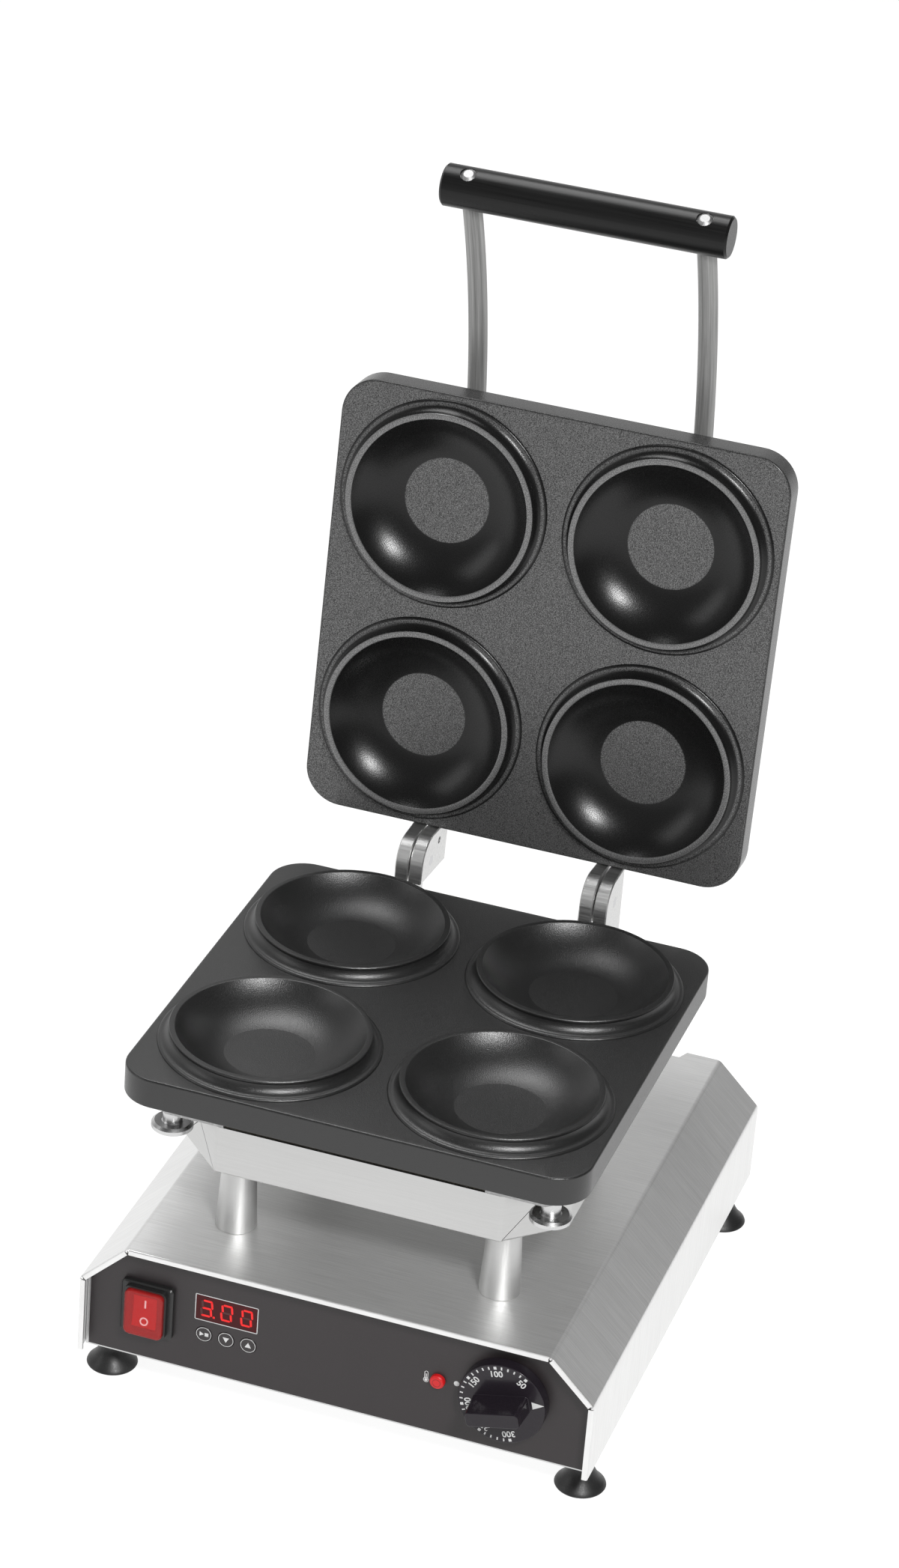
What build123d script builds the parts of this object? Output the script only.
from build123d import *
from math import cos, radians, sin, sqrt, tan
import os

os.makedirs("parts", exist_ok=True)

# Frame: origin on the floor, in the middle of the space that the open appliance takes up.
# +X to the user's right, +Y to the back, +Z up. Lengths in millimetres.
# The lid is modelled closed and then opened about its hinge.

# Running and seating clearances
PIN_CLEARANCE = 0.05
HOLE_CLEARANCE = 0.2
SEAT_GAP = 0.3
RIM_GAP = 0.4

# Base housing: folded stainless cover over a bent chassis sheet
BASE_WIDTH = 300.0
BASE_DEPTH = 334.3
FOOT_HEIGHT = 22.8
COVER_HEIGHT = 74.0
SHOULDER_INSET = 26.4
SHOULDER_DROP = 25.7
COVER_SHEET = 1.5
COVER_LIP = 3.2
LIP_NOTCH = 1.6
COVER_FLANGE = 18.0
COVER_BEND = 3.0
REAR_CUT_MARGIN = 47.0
REAR_CUT_DEPTH = 7.0
REAR_CUT_SLANT = 23.0
CHASSIS_SHEET = 1.4
PANEL_RECESS = 8.4
REAR_RECESS = 8.4

# Control foil on the front panel
FOIL_THICKNESS = 0.4
FOIL_BOTTOM_MARGIN = 1.7
FOIL_SIDE_MARGIN = 2.2

# Rubber suction feet
FOOT_SIDE_OFFSET = 10.6
FOOT_FRONT_OFFSET = 28.5
FOOT_REAR_OFFSET = 19.0
FOOT_RADIUS = 14.55
FOOT_NECK_RADIUS = 6.6
FOOT_STUD_RADIUS = 2.0
FOOT_NUT_HEIGHT = 3.2
FOOT_NUT_WIDTH = 7.0

# Conical legs and the tie rods through them
LEG_X = 77.5
LEG_Y = 74.1
LEG_HEIGHT = 48.7
LEG_BOTTOM_RADIUS = 11.7
LEG_TOP_RADIUS = 9.3
TIE_RADIUS = 3.0
TIE_SLEEVE_RADIUS = 6.0
TIE_NUT_WIDTH = 10.0
TIE_NUT_HEIGHT = 5.0

# Folded heater trays
PLATE_SETBACK = 124.1
TRAY_HALF_WIDTH = 112.7
TRAY_HALF_DEPTH = 101.3
TRAY_CHAMFER = 30.1
TRAY_WALL = 29.6
TRAY_SHEET = 1.5
TRAY_SEAM = 0.4
TRAY_BEND = 2.0
TRAY_CORNER_HOLE = 1.6

# Heating plates with fixing ears
TRAY_AIR_GAP = 7.5
HEATING_THICKNESS = 14.2
HEATING_HALF_WIDTH = 110.0
HEATING_HALF_DEPTH = 100.1
EAR_INNER_X = 75.0
EAR_OUTER_X = 118.0
EAR_REACH = 112.1
EAR_LENGTH = 36.0
EAR_CORNER = 9.0
ELEMENT_RADIUS = 3.25
ELEMENT_BEND = 16.0
ELEMENT_HALF_WIDTH = 88.0
ELEMENT_HALF_DEPTH = 58.0
ELEMENT_LEG = 34.0
INSULATION_HEIGHT = 22.0
INSULATION_GAP = 0.6

# Baking plates
PLATE_WIDTH = 265.4
PLATE_DEPTH = 262.9
PLATE_THICKNESS = 17.2
PLATE_CORNER = 22.0
PLATE_EDGE = 1.0
CUP_X = 66.7
CUP_Y = 66.1
RIM_RADIUS = 56.0
RIM_HEIGHT = 9.2
RIM_LAND = 3.6
STEP_RADIUS = 62.0
STEP_HEIGHT = 1.5
CUP_FLAT_RADIUS = 25.5
CUP_DEPTH = 16.4
CUP_SAGITTA = 3.3

# Studs and thumb nuts that hold the baking plates
NUT_X = 109.0
NUT_Y = 99.4
STUD_RADIUS = 3.0
STUD_LENGTH = 31.0
NUT_RADIUS = 11.7
NUT_DISC = 4.5
NUT_HUB_RADIUS = 5.5
NUT_HUB_LENGTH = 10.8

# Hinge
HINGE_OFFSET = 17.03
OPEN_ANGLE = 95.83
ARM_THICKNESS = 8.0
ARM_GAP = 0.8
ARM_X = 56.2
HINGE_PIN_RADIUS = 3.0
ARM_FRONT = 16.3
ARM_ROUND = 15.0
FIXED_ARM_BACK = 16.4
FIXED_ARM_TOP = 15.0
LID_ARM_BACK = 9.7
LID_ARM_BOTTOM = 16.2
LID_ARM_TOP = 28.2
ARM_BASE_RISE = 2.0
ARM_STEP = 6.0
FIXED_ARM_KNEE = 32.0
ARM_BEVEL = 0.6
ARM_SCREW_RADIUS = 2.5
ARM_SCREW_LENGTH = 16.0
ARM_SCREW_HEAD = 3.5
ARM_SCREW_LOW = 8.0
ARM_SCREW_HIGH = 21.0

# Handle
ROD_X = 67.8
ROD_RADIUS = 5.5
BAR_RADIUS = 12.0
BAR_LENGTH = 165.0
BAR_BEVEL = 1.2
BAR_REACH = 152.9
BAR_DROP = 61.2
ROD_ARC_RADIUS = 400.0
ROD_WALL_HEIGHT = 60.4
HANDLE_SCREW_RADIUS = 2.0
HANDLE_SCREW_HEAD = 4.6
ROD_SCREW_X = 10.0
ROD_SCREW_HEAD = 2.2
ROD_FOOT_WIDTH = 32.0
ROD_FOOT_HEIGHT = 20.0
ROD_FOOT_SHEET = 3.0
ROD_NUT_RADIUS = 3.5
ROD_NUT_HEIGHT = 3.0

# Switch
SWITCH_SIDE_OFFSET = 38.6
SWITCH_Z = 58.3
SWITCH_FRAME_WIDTH = 30.7
SWITCH_FRAME_HEIGHT = 34.0
SWITCH_FRAME_DEPTH = 3.6
SWITCH_COLLAR_DEPTH = 3.0
HOOD_WIDTH = 23.0
HOOD_HEIGHT = 29.5
HOOD_PROUD = 9.0
HOOD_WALL = 1.0
ROCKER_WIDTH = 14.0
ROCKER_HEIGHT = 19.5
ROCKER_TILT = 6.0
ROCKER_TRUNNION = 1.5
SWITCH_BODY_WIDTH = 22.0
SWITCH_BODY_HEIGHT = 28.0
SWITCH_BODY_DEPTH = 24.0

# Timer display and keys
DISPLAY_SIDE_OFFSET = 84.6
DISPLAY_Z = 67.2
DISPLAY_WIDTH = 36.3
DISPLAY_HEIGHT = 16.2
KEY_PITCH = 13.15
KEY_SHIFT = 0.5
KEY_Z = 49.8
KEY_RADIUS = 4.75
KEY_CLEARANCE = 0.3
KEY_TRAVEL = 0.4
BOARD_SETBACK = 5.2
BOARD_SHEET = 1.6

# Lamp
LAMP_SIDE_OFFSET = 91.0
LAMP_Z = 59.0
LAMP_RADIUS = 4.0
LAMP_PROUD = 3.0

# Thermostat knob
KNOB_SIDE_OFFSET = 52.0
KNOB_Z = 60.0
KNOB_RADIUS = 25.0
KNOB_SKIRT = 7.6
KNOB_GAP = 0.4
KNOB_EDGE = 0.5
GRIP_LENGTH = 32.0
GRIP_WIDTH = 11.0
GRIP_FRONT_LENGTH = 30.6
GRIP_FRONT_WIDTH = 8.8
GRIP_EDGE = 0.5
GRIP_CORNER = 2.0
GRIP_HEIGHT = 17.0
GRIP_TILT = 13.3
SPINDLE_RADIUS = 3.0
THERMOSTAT_RADIUS = 20.0
THERMOSTAT_DEPTH = 34.0

# Mains inlet
GLAND_SIDE_OFFSET = 46.0
GLAND_RISE = 24.0
GLAND_RADIUS = 8.0
GLAND_BORE = 4.0
GLAND_NUT_RADIUS = 11.0
GLAND_NUT = 6.0
GLAND_LOCKNUT = 5.0
TERMINAL_OFFSET = 45.0
TERMINAL_SETBACK = 30.0
TERMINAL_WIDTH = 50.0
TERMINAL_DEPTH = 20.0
TERMINAL_HEIGHT = 18.0

# Derived places across the base, from its two sides
LEFT_X = -BASE_WIDTH / 2
RIGHT_X = BASE_WIDTH / 2
FOOT_X = RIGHT_X - FOOT_SIDE_OFFSET
REAR_CUT_HALF = RIGHT_X - REAR_CUT_MARGIN
SWITCH_X = LEFT_X + SWITCH_SIDE_OFFSET
DISPLAY_X = LEFT_X + DISPLAY_SIDE_OFFSET
KEY_XS = tuple(DISPLAY_X + KEY_SHIFT + step * KEY_PITCH for step in (-1, 0, 1))
LAMP_X = RIGHT_X - LAMP_SIDE_OFFSET
KNOB_X = RIGHT_X - KNOB_SIDE_OFFSET
GLAND_X = RIGHT_X - GLAND_SIDE_OFFSET

# Derived heights and depths
CHASSIS_TOP_Z = FOOT_HEIGHT + CHASSIS_SHEET
COVER_TOP_Z = CHASSIS_TOP_Z + COVER_HEIGHT
SHOULDER_Z = COVER_TOP_Z - SHOULDER_DROP
TRAY_Z = COVER_TOP_Z + LEG_HEIGHT
TRAY_TOP_Z = TRAY_Z + TRAY_WALL
HEATING_Z = TRAY_TOP_Z + TRAY_AIR_GAP
PLATE_Z = HEATING_Z + HEATING_THICKNESS
FACE_Z = PLATE_Z + PLATE_THICKNESS
RIM_Z = FACE_Z + RIM_HEIGHT
MID_Z = RIM_Z + RIM_GAP / 2
HINGE_SETBACK = PLATE_SETBACK + PLATE_DEPTH / 2 + HINGE_OFFSET
TRAY_REACH = PLATE_DEPTH / 2 + HINGE_OFFSET + TRAY_HALF_DEPTH
OPEN_REACH = (MID_Z - TRAY_Z) * sin(radians(OPEN_ANGLE)) - TRAY_REACH * cos(radians(OPEN_ANGLE))
KNOB_REACH = FOIL_THICKNESS + KNOB_GAP + KNOB_SKIRT + GRIP_HEIGHT - PANEL_RECESS
FRONT_Y = (KNOB_REACH - HINGE_SETBACK - OPEN_REACH) / 2
BACK_Y = FRONT_Y + BASE_DEPTH
PLATE_CENTRE_Y = FRONT_Y + PLATE_SETBACK
HINGE_Y = FRONT_Y + HINGE_SETBACK
TRAY_FRONT_Y = PLATE_CENTRE_Y - TRAY_HALF_DEPTH
TRAY_REAR_Y = PLATE_CENTRE_Y + TRAY_HALF_DEPTH
WALL_FRONT_Y = FRONT_Y + PANEL_RECESS
WALL_BACK_Y = WALL_FRONT_Y + CHASSIS_SHEET
FOIL_Y = WALL_FRONT_Y - FOIL_THICKNESS
REAR_WALL_Y = BACK_Y - REAR_RECESS


def box(x0, x1, y0, y1, z0, z1):
    return Pos((x0 + x1) / 2, (y0 + y1) / 2, (z0 + z1) / 2) * Box(x1 - x0, y1 - y0, z1 - z0)


def rod_z(x, y, z0, z1, r):
    return Pos(x, y, (z0 + z1) / 2) * Cylinder(r, z1 - z0)


def rod_y(x, z, y0, y1, r):
    return Pos(x, (y0 + y1) / 2, z) * Rot(90, 0, 0) * Cylinder(r, y1 - y0)


def rod_x(y, z, x0, x1, r):
    return Pos((x0 + x1) / 2, y, z) * Rot(0, 90, 0) * Cylinder(r, x1 - x0)


def cone_z(x, y, z0, z1, r0, r1):
    return Pos(x, y, (z0 + z1) / 2) * Cone(r0, r1, z1 - z0)


def prism_y(points, y0, y1):
    face = Plane(origin=(0, y0, 0), x_dir=(1, 0, 0), z_dir=(0, -1, 0)) * make_face(
        Polyline(*points, close=True)
    )
    return extrude(face, amount=-(y1 - y0))


def prism_x(points, x0, x1):
    face = Plane(origin=(x0, 0, 0), x_dir=(0, 1, 0), z_dir=(1, 0, 0)) * make_face(
        Polyline(*points, close=True)
    )
    return extrude(face, amount=x1 - x0)


def prism_z(points, z0, z1):
    return extrude(Pos(0, 0, z0) * make_face(Polyline(*points, close=True)), amount=z1 - z0)


def slab_y(x, z, width, height, y0, y1, corner):
    face = Plane(origin=(x, y0, z), x_dir=(1, 0, 0), z_dir=(0, -1, 0)) * RectangleRounded(
        width, height, corner
    )
    return extrude(face, amount=-(y1 - y0))


def hex_z(x, y, z0, z1, width):
    return Pos(x, y, z0) * extrude(RegularPolygon(width / 2, 6, major_radius=False), amount=z1 - z0)


def revolved(points, x, y, z):
    profile = make_face(Polyline(*points, close=True))
    return Pos(x, y, z) * revolve(Plane.XZ * profile, Axis.Z)


def four(x, y, centre_y=0.0):
    return [(sx * x, centre_y + sy * y) for sx in (-1, 1) for sy in (-1, 1)]


def save(name, shape):
    solids = shape.solids()
    part = solids[0] if len(solids) == 1 else Compound(children=list(solids))
    part.label = name
    export_step(part, f"parts/{name}.step")


def upper(shape):
    return mirror(shape, about=Plane.XY.offset(MID_Z))


def opened(shape):
    return shape.rotate(Axis((0, HINGE_Y, MID_Z), (1, 0, 0)), -OPEN_ANGLE)


# Base cover: top, sloping shoulders and sides in one folded sheet, open to front and back
def cover_profile(inset):
    half = BASE_WIDTH / 2 - inset
    slope = sqrt(SHOULDER_INSET ** 2 + SHOULDER_DROP ** 2)
    side = inset * (slope - SHOULDER_INSET) / SHOULDER_DROP
    top = inset * (slope - SHOULDER_DROP) / SHOULDER_INSET
    high = COVER_TOP_Z - inset
    knee = SHOULDER_Z - side
    crown = BASE_WIDTH / 2 - SHOULDER_INSET - top
    return half, knee, crown, high


def cover_outline(inset, floor):
    half, knee, crown, high = cover_profile(inset)
    return [(-half, floor), (-half, knee), (-crown, high), (crown, high), (half, knee), (half, floor)]


def folded_section(inset, floor, y0, y1):
    solid = prism_y(cover_outline(inset, floor), y0, y1)
    bends = [e for e in solid.edges().filter_by(Axis.Y) if e.center().Z > floor + COVER_BEND]
    return fillet(bends, COVER_BEND - inset)


cover = folded_section(0.0, CHASSIS_TOP_Z, FRONT_Y, BACK_Y)
cover -= folded_section(COVER_SHEET, CHASSIS_TOP_Z - 1, FRONT_Y - 1, BACK_Y + 1)
lip = folded_section(COVER_SHEET / 2, CHASSIS_TOP_Z, FRONT_Y, FRONT_Y + COVER_SHEET)
lip -= prism_y(cover_outline(COVER_LIP, CHASSIS_TOP_Z - 1), FRONT_Y - 1, FRONT_Y + COVER_SHEET + 1)
lip_in = cover_profile(COVER_LIP)
lip_out = cover_profile(COVER_SHEET)
for sx in (-1, 1):
    for deep, shallow in (
        ((lip_in[0], lip_in[1]), (lip_out[0], lip_out[1])),
        ((lip_in[2], lip_in[3]), (lip_out[2], lip_out[3])),
    ):
        lip -= Pos(sx * (deep[0] + shallow[0]) / 2, FRONT_Y, (deep[1] + shallow[1]) / 2) * Rot(
            90, 0, 0
        ) * Cylinder(LIP_NOTCH, 4 * COVER_SHEET)
cover += lip
rear_cut = REAR_CUT_HALF - REAR_CUT_DEPTH * tan(radians(REAR_CUT_SLANT))
cover -= prism_z(
    [
        (-REAR_CUT_HALF, BACK_Y + 1),
        (-rear_cut, BACK_Y - REAR_CUT_DEPTH),
        (rear_cut, BACK_Y - REAR_CUT_DEPTH),
        (REAR_CUT_HALF, BACK_Y + 1),
    ],
    COVER_TOP_Z - COVER_SHEET - 1,
    COVER_TOP_Z + 1,
)
FLANGE_FRONT_Y = WALL_BACK_Y + SEAT_GAP
FLANGE_BACK_Y = REAR_WALL_Y - SEAT_GAP
for sx in (-1, 1):
    outer = sx * (BASE_WIDTH / 2 - COVER_SHEET / 2)
    inner = sx * (BASE_WIDTH / 2 - COVER_FLANGE)
    cover += box(
        min(outer, inner),
        max(outer, inner),
        FLANGE_FRONT_Y,
        FLANGE_BACK_Y,
        CHASSIS_TOP_Z,
        CHASSIS_TOP_Z + COVER_SHEET,
    )
for x, y in four(LEG_X, LEG_Y, PLATE_CENTRE_Y):
    cover -= rod_z(x, y, COVER_TOP_Z - 2 * COVER_SHEET, COVER_TOP_Z + 1, TIE_RADIUS + HOLE_CLEARANCE)

# Chassis: front panel, floor and rear panel bent from one sheet
CHASSIS_HALF = BASE_WIDTH / 2 - COVER_SHEET - SEAT_GAP
PANEL_INSET = COVER_SHEET + SEAT_GAP
chassis = folded_section(PANEL_INSET, FOOT_HEIGHT, WALL_FRONT_Y, WALL_BACK_Y)
chassis += folded_section(PANEL_INSET, FOOT_HEIGHT, REAR_WALL_Y, REAR_WALL_Y + CHASSIS_SHEET)
chassis += box(
    -CHASSIS_HALF, CHASSIS_HALF, WALL_FRONT_Y, REAR_WALL_Y + CHASSIS_SHEET, FOOT_HEIGHT, CHASSIS_TOP_Z
)
bend_edges = [
    e
    for e in chassis.edges()
    if abs(e.center().Z - FOOT_HEIGHT) < 0.01
    and (abs(e.center().Y - WALL_FRONT_Y) < 0.01 or abs(e.center().Y - REAR_WALL_Y - CHASSIS_SHEET) < 0.01)
    and e.length > CHASSIS_HALF
]
chassis = fillet(bend_edges, CHASSIS_SHEET * 0.8)

# Openings that the front panel and the foil share
panel_cuts = Compound(
    children=[
        slab_y(
            SWITCH_X,
            SWITCH_Z,
            SWITCH_BODY_WIDTH + 2 * HOLE_CLEARANCE,
            SWITCH_BODY_HEIGHT + 2 * HOLE_CLEARANCE,
            FOIL_Y - 1,
            WALL_BACK_Y + 1,
            1.0,
        ),
        rod_y(LAMP_X, LAMP_Z, FOIL_Y - 1, WALL_BACK_Y + 1, LAMP_RADIUS + HOLE_CLEARANCE),
        rod_y(KNOB_X, KNOB_Z, FOIL_Y - 1, WALL_BACK_Y + 1, 2 * SPINDLE_RADIUS),
    ]
    + [rod_y(x, KEY_Z, FOIL_Y - 1, WALL_BACK_Y + 1, KEY_RADIUS + KEY_CLEARANCE) for x in KEY_XS]
)
for cut in panel_cuts.solids():
    chassis -= cut
chassis -= slab_y(
    DISPLAY_X, DISPLAY_Z, DISPLAY_WIDTH - 2, DISPLAY_HEIGHT - 2, WALL_FRONT_Y - 1, WALL_BACK_Y + 1, 1.0
)

# Control foil
foil = prism_y(
    cover_outline(FOIL_SIDE_MARGIN + COVER_SHEET, FOOT_HEIGHT + FOIL_BOTTOM_MARGIN), FOIL_Y, WALL_FRONT_Y
)
for cut in panel_cuts.solids():
    foil -= cut
foil -= slab_y(DISPLAY_X, DISPLAY_Z, DISPLAY_WIDTH, DISPLAY_HEIGHT, FOIL_Y - 1, WALL_FRONT_Y + 1, 1.0)
save("control_foil", foil)

# Feet: flared suction cups with a moulded-in stud, and their nuts
foot_spots = [
    (sx * FOOT_X, y)
    for sx in (-1, 1)
    for y in (FRONT_Y + FOOT_FRONT_OFFSET, BACK_Y - FOOT_REAR_OFFSET)
]
STUD_TOP_Z = CHASSIS_TOP_Z + COVER_SHEET + FOOT_NUT_HEIGHT + 1
foot_names = ("foot_front_left", "foot_rear_left", "foot_front_right", "foot_rear_right")
foot_profile = [
    (0, 3.5),
    (5.0, 2.8),
    (FOOT_RADIUS - 1.6, 0),
    (FOOT_RADIUS - 0.4, 0),
    (FOOT_RADIUS, 0.9),
    (FOOT_RADIUS - 0.8, 2.2),
    (FOOT_RADIUS - 3.6, 5.2),
    (FOOT_NECK_RADIUS + 1.6, 8.6),
    (FOOT_NECK_RADIUS, 12.2),
    (FOOT_NECK_RADIUS, FOOT_HEIGHT - 3.0),
    (FOOT_NECK_RADIUS + 2.0, FOOT_HEIGHT - 1.2),
    (FOOT_NECK_RADIUS + 2.0, FOOT_HEIGHT),
    (FOOT_STUD_RADIUS, FOOT_HEIGHT),
    (FOOT_STUD_RADIUS, STUD_TOP_Z),
    (0, STUD_TOP_Z),
]
nuts = []
for name, (x, y) in zip(foot_names, foot_spots):
    save(name, revolved(foot_profile, x, y, 0))
    hole = rod_z(x, y, FOOT_HEIGHT - 1, STUD_TOP_Z, FOOT_STUD_RADIUS + HOLE_CLEARANCE)
    chassis -= hole
    cover -= hole
    nut_z = CHASSIS_TOP_Z + COVER_SHEET
    nut = hex_z(x, y, nut_z, nut_z + FOOT_NUT_HEIGHT, FOOT_NUT_WIDTH)
    nut -= rod_z(x, y, nut_z - 1, nut_z + 9, FOOT_STUD_RADIUS + PIN_CLEARANCE)
    nuts.append(nut)
save("foot_nuts", Compound(children=nuts))

# Conical legs between the cover and the lower tray
leg_names = ("leg_front_left", "leg_rear_left", "leg_front_right", "leg_rear_right")
leg_spots = four(LEG_X, LEG_Y, PLATE_CENTRE_Y)
for name, (x, y) in zip(leg_names, leg_spots):
    leg = cone_z(x, y, COVER_TOP_Z, TRAY_Z, LEG_BOTTOM_RADIUS, LEG_TOP_RADIUS)
    leg = chamfer(leg.edges().filter_by(GeomType.CIRCLE), 0.4)
    leg -= rod_z(x, y, COVER_TOP_Z - 1, TRAY_Z + 1, TIE_RADIUS + HOLE_CLEARANCE)
    save(name, leg)


# Heater tray: floor and walls folded up, each cut-off corner closed by three mitred flaps
def tray_outline(inset):
    cut = inset * (sqrt(2) - 1)
    w = TRAY_HALF_WIDTH - inset
    d = TRAY_HALF_DEPTH - inset
    wc = TRAY_HALF_WIDTH - TRAY_CHAMFER - cut
    dc = TRAY_HALF_DEPTH - TRAY_CHAMFER - cut
    c = PLATE_CENTRE_Y
    return [
        (-wc, c - d),
        (wc, c - d),
        (w, c - dc),
        (w, c + dc),
        (wc, c + d),
        (-wc, c + d),
        (-w, c + dc),
        (-w, c - dc),
    ]


def folded_tray(inset, floor, top):
    solid = prism_z(tray_outline(inset), floor, top)
    bends = solid.edges().filter_by(Axis.Z) + solid.faces().sort_by(Axis.Z)[0].edges()
    return fillet(bends, TRAY_BEND - inset)


tray = folded_tray(0.0, TRAY_Z, TRAY_TOP_Z)
tray -= folded_tray(TRAY_SHEET, TRAY_Z + TRAY_SHEET, TRAY_TOP_Z + 1)
CORNER_X = TRAY_HALF_WIDTH - TRAY_CHAMFER / 2
CORNER_Y = TRAY_HALF_DEPTH - TRAY_CHAMFER / 2
CORNER_HALF = TRAY_CHAMFER / sqrt(2)
for sx in (-1, 1):
    for sy in (-1, 1):
        place = Plane(
            origin=(sx * CORNER_X, PLATE_CENTRE_Y + sy * CORNER_Y, TRAY_Z),
            x_dir=(-sy, sx, 0),
            z_dir=(sx, sy, 0),
        )
        start_at = 1.5 * TRAY_SHEET
        middle_at = (start_at + CORNER_HALF) / 2
        run = (CORNER_HALF - start_at) * sqrt(2)
        for side in (-1, 1):
            tray -= place * Pos(side * (CORNER_HALF - middle_at), middle_at, 0) * Rot(
                0, 0, -side * 45
            ) * Box(run, TRAY_SEAM, 4 * TRAY_SHEET)
            tray -= place * Pos(side * (CORNER_HALF - start_at), start_at, 0) * Cylinder(
                TRAY_CORNER_HOLE / 2, 6 * TRAY_SHEET
            )
        upright = place * Pos(0, (CORNER_HALF + TRAY_WALL + 1) / 2, 0) * Box(
            TRAY_SEAM, TRAY_WALL + 1 - CORNER_HALF, 4 * TRAY_SHEET
        )
        tray -= upright
for x, y in leg_spots:
    tray -= rod_z(x, y, TRAY_Z - 1, TRAY_Z + TRAY_SHEET + 1, TIE_RADIUS + HOLE_CLEARANCE)
upper_tray = upper(tray)

# Tie rods: nut, rod and sleeve that clamp heating plate, tray and leg together
ties = []
caps = []
for x, y in leg_spots:
    nut_top = COVER_TOP_Z - COVER_SHEET
    tie = rod_z(x, y, nut_top - TIE_NUT_HEIGHT, HEATING_Z, TIE_RADIUS)
    tie += hex_z(x, y, nut_top - TIE_NUT_HEIGHT, nut_top, TIE_NUT_WIDTH)
    tie += rod_z(x, y, TRAY_Z + TRAY_SHEET, HEATING_Z, TIE_SLEEVE_RADIUS)
    ties.append(tie)
    cap = rod_z(x, y, TRAY_Z - 2.5, HEATING_Z, TIE_RADIUS)
    cap += rod_z(x, y, TRAY_Z - 2.5, TRAY_Z, TIE_NUT_WIDTH / 2)
    cap += rod_z(x, y, TRAY_Z + TRAY_SHEET, HEATING_Z, TIE_SLEEVE_RADIUS)
    caps.append(cap)
save("lower_tie_rods", Compound(children=ties))
save("upper_tie_screws", opened(upper(Compound(children=caps))))

# Heating plate: cast body with an ear at each corner, where a thumb nut pulls the baking plate down
heating = box(
    -HEATING_HALF_WIDTH,
    HEATING_HALF_WIDTH,
    PLATE_CENTRE_Y - HEATING_HALF_DEPTH,
    PLATE_CENTRE_Y + HEATING_HALF_DEPTH,
    HEATING_Z,
    PLATE_Z,
)
for sx in (-1, 1):
    for sy in (-1, 1):
        ear = prism_z(
            [
                (sx * EAR_INNER_X, PLATE_CENTRE_Y + sy * (EAR_REACH - EAR_LENGTH)),
                (sx * EAR_INNER_X, PLATE_CENTRE_Y + sy * EAR_REACH),
                (sx * (EAR_OUTER_X - EAR_CORNER), PLATE_CENTRE_Y + sy * EAR_REACH),
                (sx * EAR_OUTER_X, PLATE_CENTRE_Y + sy * (EAR_REACH - EAR_CORNER)),
                (sx * EAR_OUTER_X, PLATE_CENTRE_Y + sy * (EAR_REACH - EAR_LENGTH)),
            ],
            HEATING_Z,
            PLATE_Z,
        )
        heating += ear
        heating -= rod_z(
            sx * NUT_X,
            PLATE_CENTRE_Y + sy * NUT_Y,
            HEATING_Z - 1,
            PLATE_Z + 1,
            STUD_RADIUS + HOLE_CLEARANCE,
        )
save("lower_heating_plate", heating)
save("upper_heating_plate", opened(upper(heating)))

# Tubular heating element clipped under the heating plate
w = ELEMENT_HALF_WIDTH
d = ELEMENT_HALF_DEPTH
c = PLATE_CENTRE_Y
q = ELEMENT_LEG
ez = HEATING_Z - ELEMENT_RADIUS - HOLE_CLEARANCE / 2
route = FilletPolyline(
    (-q / 2, c + d + 24, ez),
    (-q / 2, c - d + 30, ez),
    (-w + q, c - d + 30, ez),
    (-w + q, c + d, ez),
    (-w, c + d, ez),
    (-w, c - d, ez),
    (w, c - d, ez),
    (w, c + d, ez),
    (w - q, c + d, ez),
    (w - q, c - d + 30, ez),
    (q / 2, c - d + 30, ez),
    (q / 2, c + d + 24, ez),
    radius=ELEMENT_BEND - 2,
)
start = Plane(origin=route @ 0, z_dir=route % 0)
element = sweep(start * Circle(ELEMENT_RADIUS), path=route)
save("lower_heating_element", element)
save("upper_heating_element", opened(upper(element)))

# Insulation mats on the tray floors. The lid's mat is made in the lower tray's place and mirrored.
mat_inset = TRAY_SHEET + INSULATION_GAP
mat = prism_z(tray_outline(mat_inset), TRAY_Z + TRAY_SHEET, TRAY_Z + TRAY_SHEET + INSULATION_HEIGHT)
for x, y in leg_spots:
    mat -= rod_z(x, y, TRAY_Z, HEATING_Z, TIE_SLEEVE_RADIUS + SEAT_GAP)
upper_mat = mat

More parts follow.
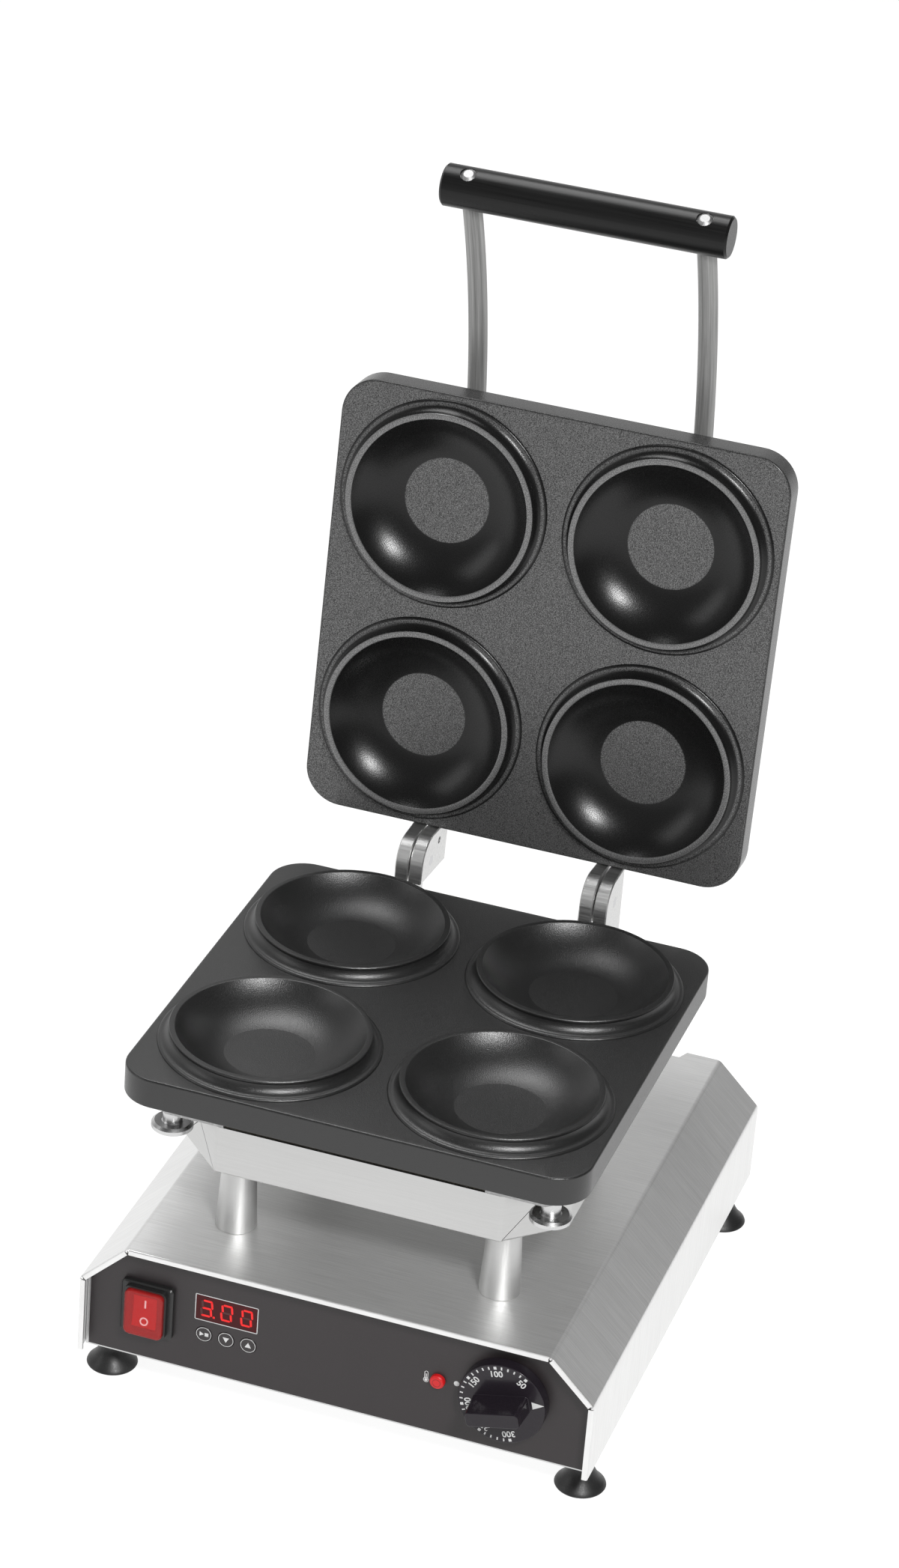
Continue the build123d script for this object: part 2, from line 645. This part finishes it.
# Baking plate with four raised cup rings
plate = Pos(0, PLATE_CENTRE_Y, PLATE_Z) * extrude(
    RectangleRounded(PLATE_WIDTH, PLATE_DEPTH, PLATE_CORNER), amount=PLATE_THICKNESS
)
plate = fillet(plate.faces().sort_by(Axis.Z)[-1].edges(), PLATE_EDGE)
plate = chamfer(plate.faces().sort_by(Axis.Z)[0].edges(), PLATE_EDGE / 2)
inner = RIM_RADIUS - RIM_LAND
chord = sqrt((inner - CUP_FLAT_RADIUS) ** 2 + CUP_DEPTH ** 2)
bow_r = (inner + CUP_FLAT_RADIUS) / 2 + CUP_SAGITTA * CUP_DEPTH / chord
bow_z = -CUP_DEPTH / 2 - CUP_SAGITTA * (inner - CUP_FLAT_RADIUS) / chord
ring = make_face(
    Polyline(
        (0, -1),
        (STEP_RADIUS, -1),
        (STEP_RADIUS, STEP_HEIGHT * 0.4),
        (STEP_RADIUS - 0.5, STEP_HEIGHT * 0.85),
        (STEP_RADIUS - 1.3, STEP_HEIGHT),
        (STEP_RADIUS - 2.6, STEP_HEIGHT),
    )
    + ThreePointArc(
        (STEP_RADIUS - 2.6, STEP_HEIGHT),
        (RIM_RADIUS + 0.8, STEP_HEIGHT + 2.0),
        (RIM_RADIUS - 0.6, RIM_HEIGHT - 2.4),
    )
    + Polyline(
        (RIM_RADIUS - 0.6, RIM_HEIGHT - 2.4),
        (RIM_RADIUS, RIM_HEIGHT - 1.6),
        (RIM_RADIUS, RIM_HEIGHT - 0.3),
        (RIM_RADIUS - 0.3, RIM_HEIGHT),
        (0, RIM_HEIGHT),
        (0, -1),
    )
)
bowl = make_face(
    Polyline((0, RIM_HEIGHT + 1), (inner, RIM_HEIGHT + 1), (inner, RIM_HEIGHT))
    + ThreePointArc(
        (inner, RIM_HEIGHT),
        (bow_r, RIM_HEIGHT + bow_z),
        (CUP_FLAT_RADIUS, RIM_HEIGHT - CUP_DEPTH),
    )
    + Polyline(
        (CUP_FLAT_RADIUS, RIM_HEIGHT - CUP_DEPTH), (0, RIM_HEIGHT - CUP_DEPTH), (0, RIM_HEIGHT + 1)
    )
)
ring_solid = revolve(Plane.XZ * ring, Axis.Z)
bowl_solid = revolve(Plane.XZ * bowl, Axis.Z)
for x, y in four(CUP_X, CUP_Y, PLATE_CENTRE_Y):
    plate += Pos(x, y, FACE_Z) * ring_solid
for x, y in four(CUP_X, CUP_Y, PLATE_CENTRE_Y):
    plate -= Pos(x, y, FACE_Z) * bowl_solid
save("lower_baking_plate", plate)
save("upper_baking_plate", opened(upper(plate)))

# Studs screwed into the baking plate, and the thumb nuts that clamp it
NUT_TOP_Z = HEATING_Z - SEAT_GAP
NUT_DISC_Z = NUT_TOP_Z - NUT_HUB_LENGTH
studs = []
for x, y in four(NUT_X, NUT_Y, PLATE_CENTRE_Y):
    studs.append(rod_z(x, y, PLATE_Z - STUD_LENGTH, PLATE_Z, STUD_RADIUS))
save("lower_plate_studs", Compound(children=studs))
save("upper_plate_studs", opened(upper(Compound(children=studs))))
nut_profile = [
    (STUD_RADIUS + PIN_CLEARANCE, -NUT_DISC),
    (NUT_RADIUS - 1.6, -NUT_DISC),
    (NUT_RADIUS, -NUT_DISC + 1.0),
    (NUT_RADIUS, -1.2),
    (NUT_RADIUS - 1.8, 0),
    (NUT_HUB_RADIUS + 0.6, 0),
    (NUT_HUB_RADIUS, 0.8),
    (NUT_HUB_RADIUS, NUT_HUB_LENGTH),
    (STUD_RADIUS + PIN_CLEARANCE, NUT_HUB_LENGTH),
]
nut_names = ("front_left", "rear_left", "front_right", "rear_right")
for name, (x, y) in zip(nut_names, four(NUT_X, NUT_Y, PLATE_CENTRE_Y)):
    thumb = revolved(nut_profile, x, y, NUT_DISC_Z)
    save("lower_thumb_nut_" + name, thumb)
    save("upper_thumb_nut_" + name, opened(upper(thumb)))

# Fixed hinge arms: upright plates bolted to the back of the lower tray
PIVOT = (HINGE_Y, MID_Z)
ARM_BASE_Z = TRAY_Z + ARM_BASE_RISE
wall_out = TRAY_REAR_Y
screw_low = TRAY_Z + ARM_SCREW_LOW
screw_high = TRAY_Z + ARM_SCREW_HIGH


def arm_profile(points, x0, x1, corner_at, radius):
    arm = prism_x(points, x0, x1)
    picked = [
        e
        for e in arm.edges().filter_by(Axis.X)
        if abs(e.center().Y - corner_at[0]) < 0.01 and abs(e.center().Z - corner_at[1]) < 0.01
    ]
    arm = fillet(picked, radius)
    return chamfer(arm.faces().filter_by(Axis.X).edges(), ARM_BEVEL)


fixed_points = [
    (wall_out, ARM_BASE_Z),
    (HINGE_Y - ARM_FRONT + ARM_STEP, ARM_BASE_Z),
    (HINGE_Y + FIXED_ARM_BACK, ARM_BASE_Z + FIXED_ARM_KNEE),
    (HINGE_Y + FIXED_ARM_BACK, MID_Z + FIXED_ARM_TOP),
    (HINGE_Y - ARM_FRONT, MID_Z + FIXED_ARM_TOP),
    (HINGE_Y - ARM_FRONT, HEATING_Z + 4),
    (HINGE_Y - ARM_FRONT - ARM_STEP, HEATING_Z - 2),
    (wall_out, TRAY_TOP_Z - 2),
]
lid_points = [
    (HINGE_Y - ARM_FRONT, MID_Z - LID_ARM_BOTTOM),
    (HINGE_Y + LID_ARM_BACK, MID_Z - LID_ARM_BOTTOM),
    (HINGE_Y + LID_ARM_BACK, MID_Z + LID_ARM_TOP),
    (HINGE_Y - ARM_FRONT + ARM_STEP, MID_Z + LID_ARM_TOP),
    (HINGE_Y - ARM_FRONT - 8, 2 * MID_Z - ARM_BASE_Z),
    (wall_out, 2 * MID_Z - ARM_BASE_Z),
    (wall_out, 2 * MID_Z - TRAY_TOP_Z + 2),
    (HINGE_Y - ARM_FRONT - 16, 2 * MID_Z - PLATE_Z + 1),
    (HINGE_Y - ARM_FRONT, 2 * MID_Z - PLATE_Z + 1),
]
fixed_screws = []
lid_screws = []
pins = []
for side, label in ((-1, "left"), (1, "right")):
    outer0 = ARM_X + ARM_GAP / 2
    outer1 = outer0 + ARM_THICKNESS
    inner1 = ARM_X - ARM_GAP / 2
    inner0 = inner1 - ARM_THICKNESS
    a0 = min(side * outer0, side * outer1)
    a1 = max(side * outer0, side * outer1)
    b0 = min(side * inner0, side * inner1)
    b1 = max(side * inner0, side * inner1)
    fixed = arm_profile(
        fixed_points, a0, a1, (HINGE_Y - ARM_FRONT, MID_Z + FIXED_ARM_TOP), ARM_ROUND
    )
    fixed -= rod_x(*PIVOT, a0 - 1, a1 + 1, HINGE_PIN_RADIUS + PIN_CLEARANCE)
    moving = arm_profile(
        lid_points, b0, b1, (HINGE_Y - ARM_FRONT, MID_Z - LID_ARM_BOTTOM), ARM_FRONT - 0.3
    )
    moving -= rod_x(*PIVOT, b0 - 1, b1 + 1, HINGE_PIN_RADIUS + PIN_CLEARANCE)
    moving -= rod_x(
        HINGE_Y - 8.3, MID_Z + 12.8, b0 - 1, b1 + 1, HINGE_PIN_RADIUS - 0.8
    )
    xf = side * (outer0 + outer1) / 2
    xm = side * (inner0 + inner1) / 2
    for z in (screw_low, screw_high):
        bore = rod_y(xf, z, wall_out - 1, wall_out + ARM_SCREW_LENGTH, ARM_SCREW_RADIUS + HOLE_CLEARANCE)
        fixed -= bore
        tray -= rod_y(xf, z, wall_out - 4, wall_out + 1, ARM_SCREW_RADIUS + HOLE_CLEARANCE)
        screw = rod_y(
            xf, z, wall_out - TRAY_SHEET - 1, wall_out + ARM_SCREW_LENGTH - 1, ARM_SCREW_RADIUS
        )
        head = rod_y(
            xf, z, wall_out - TRAY_SHEET - ARM_SCREW_HEAD, wall_out - TRAY_SHEET, 1.8 * ARM_SCREW_RADIUS
        )
        head_room = wall_out - TRAY_SHEET - ARM_SCREW_HEAD - 1
        mat -= rod_y(xf, z, head_room, wall_out, 1.8 * ARM_SCREW_RADIUS + SEAT_GAP)
        upper_mat -= rod_y(xm, z, head_room, wall_out, 1.8 * ARM_SCREW_RADIUS + SEAT_GAP)
        fixed_screws.append(screw + head)
        zu = 2 * MID_Z - z
        moving -= rod_y(
            xm, zu, wall_out - 1, wall_out + ARM_SCREW_LENGTH, ARM_SCREW_RADIUS + HOLE_CLEARANCE
        )
        upper_tray -= rod_y(xm, zu, wall_out - 4, wall_out + 1, ARM_SCREW_RADIUS + HOLE_CLEARANCE)
        screw = rod_y(
            xm, zu, wall_out - TRAY_SHEET - 1, wall_out + ARM_SCREW_LENGTH - 1, ARM_SCREW_RADIUS
        )
        head = rod_y(
            xm, zu, wall_out - TRAY_SHEET - ARM_SCREW_HEAD, wall_out - TRAY_SHEET, 1.8 * ARM_SCREW_RADIUS
        )
        lid_screws.append(screw + head)
    save("hinge_arm_" + label, fixed)
    save("lid_arm_" + label, opened(moving))
    pin_in = min(side * inner0, side * outer1)
    pin_out = max(side * inner0, side * outer1)
    pins.append(rod_x(*PIVOT, pin_in, pin_out, HINGE_PIN_RADIUS))
save("hinge_pins", Compound(children=pins))
save("hinge_arm_screws", Compound(children=fixed_screws))
save("lid_arm_screws", opened(Compound(children=lid_screws)))

# Handle: two bent rods welded to foot plates on the front wall of the upper tray, and a round bar
ROD_WALL_Z = MID_Z + ROD_WALL_HEIGHT
BAR_Y = TRAY_FRONT_Y - BAR_REACH
BAR_Z = ROD_WALL_Z - BAR_DROP
span = sqrt(BAR_REACH ** 2 + BAR_DROP ** 2)
bulge = ROD_ARC_RADIUS - sqrt(ROD_ARC_RADIUS ** 2 - (span / 2) ** 2)
mid_y = (TRAY_FRONT_Y + BAR_Y) / 2 - bulge * BAR_DROP / span
mid_z = (ROD_WALL_Z + BAR_Z) / 2 + bulge * BAR_REACH / span
foot_screws = []
for side, label in ((-1, "left"), (1, "right")):
    x = side * ROD_X
    path = ThreePointArc(
        (x, TRAY_FRONT_Y - ROD_FOOT_SHEET / 2, ROD_WALL_Z), (x, mid_y, mid_z), (x, BAR_Y, BAR_Z)
    )
    rod = sweep(Plane(origin=path @ 0, z_dir=path % 0) * Circle(ROD_RADIUS), path=path)
    rod += slab_y(
        x,
        ROD_WALL_Z,
        ROD_FOOT_WIDTH,
        ROD_FOOT_HEIGHT,
        TRAY_FRONT_Y - ROD_FOOT_SHEET,
        TRAY_FRONT_Y,
        ROD_FOOT_SHEET,
    )
    for dx in (-ROD_SCREW_X, ROD_SCREW_X):
        bore = rod_y(
            x + dx,
            ROD_WALL_Z,
            TRAY_FRONT_Y - 2 * ROD_FOOT_SHEET,
            TRAY_FRONT_Y + 2 * TRAY_SHEET,
            HANDLE_SCREW_RADIUS + HOLE_CLEARANCE,
        )
        rod -= bore
        upper_tray -= bore
        outer_y = TRAY_FRONT_Y - ROD_FOOT_SHEET
        inner_y = TRAY_FRONT_Y + TRAY_SHEET
        bolt = rod_y(x + dx, ROD_WALL_Z, outer_y - 1, inner_y + 1.5 * ROD_NUT_HEIGHT, HANDLE_SCREW_RADIUS)
        bolt += rod_y(x + dx, ROD_WALL_Z, outer_y - ROD_SCREW_HEAD, outer_y, 1.9 * HANDLE_SCREW_RADIUS)
        bolt += rod_y(x + dx, ROD_WALL_Z, inner_y, inner_y + ROD_NUT_HEIGHT, ROD_NUT_RADIUS)
        upper_mat -= rod_y(
            x + dx,
            2 * MID_Z - ROD_WALL_Z,
            TRAY_FRONT_Y,
            inner_y + 2 * ROD_NUT_HEIGHT,
            ROD_NUT_RADIUS + SEAT_GAP,
        )
        foot_screws.append(bolt)
    end_dir = path % 1
    bar_plane = Plane(origin=(x, BAR_Y, BAR_Z), z_dir=end_dir)
    rod -= bar_plane * Pos(0, 0, BAR_RADIUS) * Box(4 * ROD_RADIUS, 4 * ROD_RADIUS, 2 * BAR_RADIUS)
    rod -= bar_plane * Pos(0, 0, -BAR_RADIUS / 2) * Cylinder(
        HANDLE_SCREW_RADIUS + PIN_CLEARANCE, BAR_RADIUS + 1
    )
    save("handle_rod_" + label, opened(rod))
    if side < 0:
        bar = rod_x(BAR_Y, BAR_Z, -BAR_LENGTH / 2, BAR_LENGTH / 2, BAR_RADIUS)
        bar = chamfer(bar.edges().filter_by(GeomType.CIRCLE), BAR_BEVEL)
        handle_bolts = []
    socket = bar_plane * Pos(0, 0, -BAR_RADIUS) * Cylinder(ROD_RADIUS + HOLE_CLEARANCE, 2 * BAR_RADIUS)
    bar -= socket
    bar -= bar_plane * Pos(0, 0, BAR_RADIUS / 2) * Cylinder(
        HANDLE_SCREW_RADIUS + HOLE_CLEARANCE, BAR_RADIUS + 2
    )
    bar -= bar_plane * Pos(0, 0, BAR_RADIUS) * Cylinder(HANDLE_SCREW_HEAD + 0.1, 4.0)
    bolt = bar_plane * Pos(0, 0, BAR_RADIUS - 1.6) * Cylinder(HANDLE_SCREW_HEAD, 0.8)
    bolt += bar_plane * Pos(0, 0, BAR_RADIUS - 0.7) * Cone(
        HANDLE_SCREW_HEAD, HANDLE_SCREW_HEAD * 0.6, 1.2
    )
    shank = BAR_RADIUS + 7
    bolt += bar_plane * Pos(0, 0, BAR_RADIUS - 1.8 - shank / 2) * Cylinder(HANDLE_SCREW_RADIUS, shank)
    handle_bolts.append(bolt)
save("handle_bar", opened(bar))
save("handle_screws", opened(Compound(children=handle_bolts)))
save("handle_foot_screws", opened(Compound(children=foot_screws)))

save("lower_heater_tray", tray)
save("upper_heater_tray", opened(upper_tray))
save("lower_insulation", mat)
save("upper_insulation", opened(upper(upper_mat)))

# Mains switch: bezel with body, rocker on trunnions and a flexible splash hood
COLLAR_Y = FOIL_Y - SWITCH_FRAME_DEPTH - SWITCH_COLLAR_DEPTH
HOOD_Y = FOIL_Y - HOOD_PROUD
PIVOT_Y = FOIL_Y - 2.0
frame_part = slab_y(
    SWITCH_X, SWITCH_Z, SWITCH_FRAME_WIDTH, SWITCH_FRAME_HEIGHT, FOIL_Y - SWITCH_FRAME_DEPTH, FOIL_Y, 2.5
)
frame_part = chamfer(frame_part.faces().sort_by(Axis.Y)[0].edges(), 0.8)
frame_part += slab_y(
    SWITCH_X, SWITCH_Z, HOOD_WIDTH + 2, HOOD_HEIGHT + 2, COLLAR_Y, FOIL_Y - SWITCH_FRAME_DEPTH + 0.1, 3.5
)
frame_part += slab_y(
    SWITCH_X,
    SWITCH_Z,
    SWITCH_BODY_WIDTH,
    SWITCH_BODY_HEIGHT,
    FOIL_Y - 0.1,
    FOIL_Y + SWITCH_BODY_DEPTH,
    0.8,
)
frame_part -= slab_y(
    SWITCH_X, SWITCH_Z, ROCKER_WIDTH + 0.6, ROCKER_HEIGHT + 2.4, COLLAR_Y - 1, FOIL_Y + 6, 0.8
)
frame_part -= rod_x(
    PIVOT_Y,
    SWITCH_Z,
    SWITCH_X - ROCKER_WIDTH / 2 - 1.6,
    SWITCH_X + ROCKER_WIDTH / 2 + 1.6,
    ROCKER_TRUNNION + PIN_CLEARANCE,
)
save("switch_frame", frame_part)
hood = slab_y(SWITCH_X, SWITCH_Z, HOOD_WIDTH, HOOD_HEIGHT, HOOD_Y, COLLAR_Y, 3.5)
hood = fillet(hood.faces().sort_by(Axis.Y)[0].edges(), 0.9)
hood -= slab_y(
    SWITCH_X,
    SWITCH_Z,
    HOOD_WIDTH - 2 * HOOD_WALL,
    HOOD_HEIGHT - 2 * HOOD_WALL,
    HOOD_Y + HOOD_WALL,
    COLLAR_Y + 1,
    2.5,
)
save("switch_hood", hood)
half_r = ROCKER_HEIGHT / 2
ROCKER_FACE_Y = HOOD_Y + HOOD_WALL + 1.6
rocker = prism_x(
    [
        (ROCKER_FACE_Y + 0.9, SWITCH_Z),
        (ROCKER_FACE_Y, SWITCH_Z + half_r),
        (FOIL_Y + 1.5, SWITCH_Z + half_r - 2),
        (FOIL_Y + 3.0, SWITCH_Z),
        (FOIL_Y + 1.5, SWITCH_Z - half_r + 2),
        (ROCKER_FACE_Y, SWITCH_Z - half_r),
    ],
    SWITCH_X - ROCKER_WIDTH / 2,
    SWITCH_X + ROCKER_WIDTH / 2,
)
rocker += rod_x(
    PIVOT_Y,
    SWITCH_Z,
    SWITCH_X - ROCKER_WIDTH / 2 - 1.2,
    SWITCH_X + ROCKER_WIDTH / 2 + 1.2,
    ROCKER_TRUNNION,
)
rocker = rocker.rotate(Axis((SWITCH_X, PIVOT_Y, SWITCH_Z), (1, 0, 0)), -ROCKER_TILT)
save("power_rocker", rocker)

# Timer: window, board with display block and key switches, three keys
save(
    "display_window",
    slab_y(
        DISPLAY_X,
        DISPLAY_Z,
        DISPLAY_WIDTH - 0.2,
        DISPLAY_HEIGHT - 0.2,
        FOIL_Y,
        WALL_FRONT_Y,
        0.9,
    ),
)
BOARD_Y = WALL_BACK_Y + BOARD_SETBACK
board_x0 = KEY_XS[0] - 9
board_x1 = KEY_XS[2] + 9
board_z0 = KEY_Z - 8
board_z1 = DISPLAY_Z + DISPLAY_HEIGHT / 2 + 4
board = box(board_x0, board_x1, BOARD_Y, BOARD_Y + BOARD_SHEET, board_z0, board_z1)
board += box(
    DISPLAY_X - DISPLAY_WIDTH / 2 + 2,
    DISPLAY_X + DISPLAY_WIDTH / 2 - 2,
    WALL_FRONT_Y + 0.3,
    BOARD_Y,
    DISPLAY_Z - DISPLAY_HEIGHT / 2 + 2,
    DISPLAY_Z + DISPLAY_HEIGHT / 2 - 2,
)
KEY_BACK_Y = WALL_BACK_Y + 0.5
for x in KEY_XS:
    board += box(x - 3, x + 3, KEY_BACK_Y + KEY_TRAVEL + SEAT_GAP, BOARD_Y, KEY_Z - 3, KEY_Z + 3)
for x in (board_x0 + 3, board_x1 - 3):
    for z in (board_z0 + 3, board_z1 - 3):
        board += rod_y(x, z, WALL_BACK_Y, BOARD_Y, 2.4)
save("timer_board", board)
for name, x in zip(("key_start_stop", "key_down", "key_up"), KEY_XS):
    key = rod_y(x, KEY_Z, FOIL_Y - SEAT_GAP, KEY_BACK_Y, KEY_RADIUS)
    key = chamfer(key.faces().sort_by(Axis.Y)[0].edges(), 0.2)
    save(name, key)

# Lamp: domed red lens with its body through the panel
lamp = Pos(LAMP_X, FOIL_Y, LAMP_Z) * Rot(90, 0, 0) * (
    Pos(0, 0, LAMP_PROUD / 2) * Cylinder(LAMP_RADIUS + 0.3, LAMP_PROUD)
)
lamp = fillet(lamp.faces().sort_by(Axis.Y)[0].edges(), 1.6)
lamp += rod_y(LAMP_X, LAMP_Z, FOIL_Y - 0.5, WALL_BACK_Y + 18, LAMP_RADIUS)
lamp += rod_y(LAMP_X, LAMP_Z, WALL_BACK_Y, WALL_BACK_Y + 3, LAMP_RADIUS + 2.5)
save("indicator_lamp", lamp)

# Thermostat: knob with dial skirt and wedge grip, spindle and body behind the panel
SKIRT_BACK_Y = FOIL_Y - KNOB_GAP
SKIRT_Y = SKIRT_BACK_Y - KNOB_SKIRT
knob = rod_y(KNOB_X, KNOB_Z, SKIRT_Y, SKIRT_BACK_Y, KNOB_RADIUS)
knob = chamfer(knob.faces().sort_by(Axis.Y)[0].edges(), KNOB_EDGE)
grip_sections = [
    Plane(origin=(0, y, 0), x_dir=(1, 0, 0), z_dir=(0, -1, 0)) * RectangleRounded(length, width, GRIP_CORNER)
    for y, length, width in (
        (SKIRT_Y + 0.1, GRIP_LENGTH, GRIP_WIDTH),
        (SKIRT_Y - GRIP_HEIGHT + GRIP_EDGE, GRIP_FRONT_LENGTH, GRIP_FRONT_WIDTH),
        (SKIRT_Y - GRIP_HEIGHT, GRIP_FRONT_LENGTH - GRIP_EDGE, GRIP_FRONT_WIDTH - GRIP_EDGE),
    )
]
grip = loft(grip_sections, ruled=True)
grip = Pos(KNOB_X, 0, KNOB_Z) * Rot(0, -GRIP_TILT, 0) * grip
knob += grip
knob -= rod_y(
    KNOB_X, KNOB_Z, SKIRT_Y - 4, SKIRT_BACK_Y + 1, SPINDLE_RADIUS + PIN_CLEARANCE
)
save("thermostat_knob", knob)
spindle = rod_y(KNOB_X, KNOB_Z, SKIRT_Y - 3.7, WALL_BACK_Y + 8, SPINDLE_RADIUS)
save("thermostat_spindle", spindle)
stat = rod_y(
    KNOB_X, KNOB_Z, WALL_BACK_Y, WALL_BACK_Y + THERMOSTAT_DEPTH, THERMOSTAT_RADIUS
)
stat -= rod_y(
    KNOB_X, KNOB_Z, WALL_BACK_Y - 1, WALL_BACK_Y + 9, SPINDLE_RADIUS + PIN_CLEARANCE
)
save("thermostat_body", stat)

# Mains inlet: gland through the rear panel, and the terminal block inside
GLAND_Z = CHASSIS_TOP_Z + GLAND_RISE
REAR_FACE_Y = REAR_WALL_Y + CHASSIS_SHEET
gland = rod_y(GLAND_X, GLAND_Z, REAR_WALL_Y - GLAND_RADIUS, REAR_FACE_Y + GLAND_LOCKNUT, GLAND_RADIUS)
for nut_y, nut_length in ((REAR_FACE_Y, GLAND_NUT), (REAR_WALL_Y - GLAND_LOCKNUT, GLAND_LOCKNUT)):
    gland += Pos(GLAND_X, nut_y, GLAND_Z) * Rot(-90, 0, 0) * extrude(
        RegularPolygon(GLAND_NUT_RADIUS, 6), amount=nut_length
    )
gland -= rod_y(GLAND_X, GLAND_Z, REAR_WALL_Y - 2 * GLAND_RADIUS, BACK_Y + GLAND_NUT, GLAND_BORE)
chassis -= rod_y(GLAND_X, GLAND_Z, REAR_WALL_Y - 1, REAR_FACE_Y + 1, GLAND_RADIUS + HOLE_CLEARANCE)
save("mains_gland", gland)
TERMINAL_X = GLAND_X - TERMINAL_OFFSET
TERMINAL_Y = REAR_WALL_Y - TERMINAL_SETBACK
terminal = box(
    TERMINAL_X - TERMINAL_WIDTH / 2,
    TERMINAL_X + TERMINAL_WIDTH / 2,
    TERMINAL_Y - TERMINAL_DEPTH / 2,
    TERMINAL_Y + TERMINAL_DEPTH / 2,
    CHASSIS_TOP_Z,
    CHASSIS_TOP_Z + TERMINAL_HEIGHT,
)
save("terminal_block", terminal)

save("chassis_tray", chassis)
save("base_cover", cover)
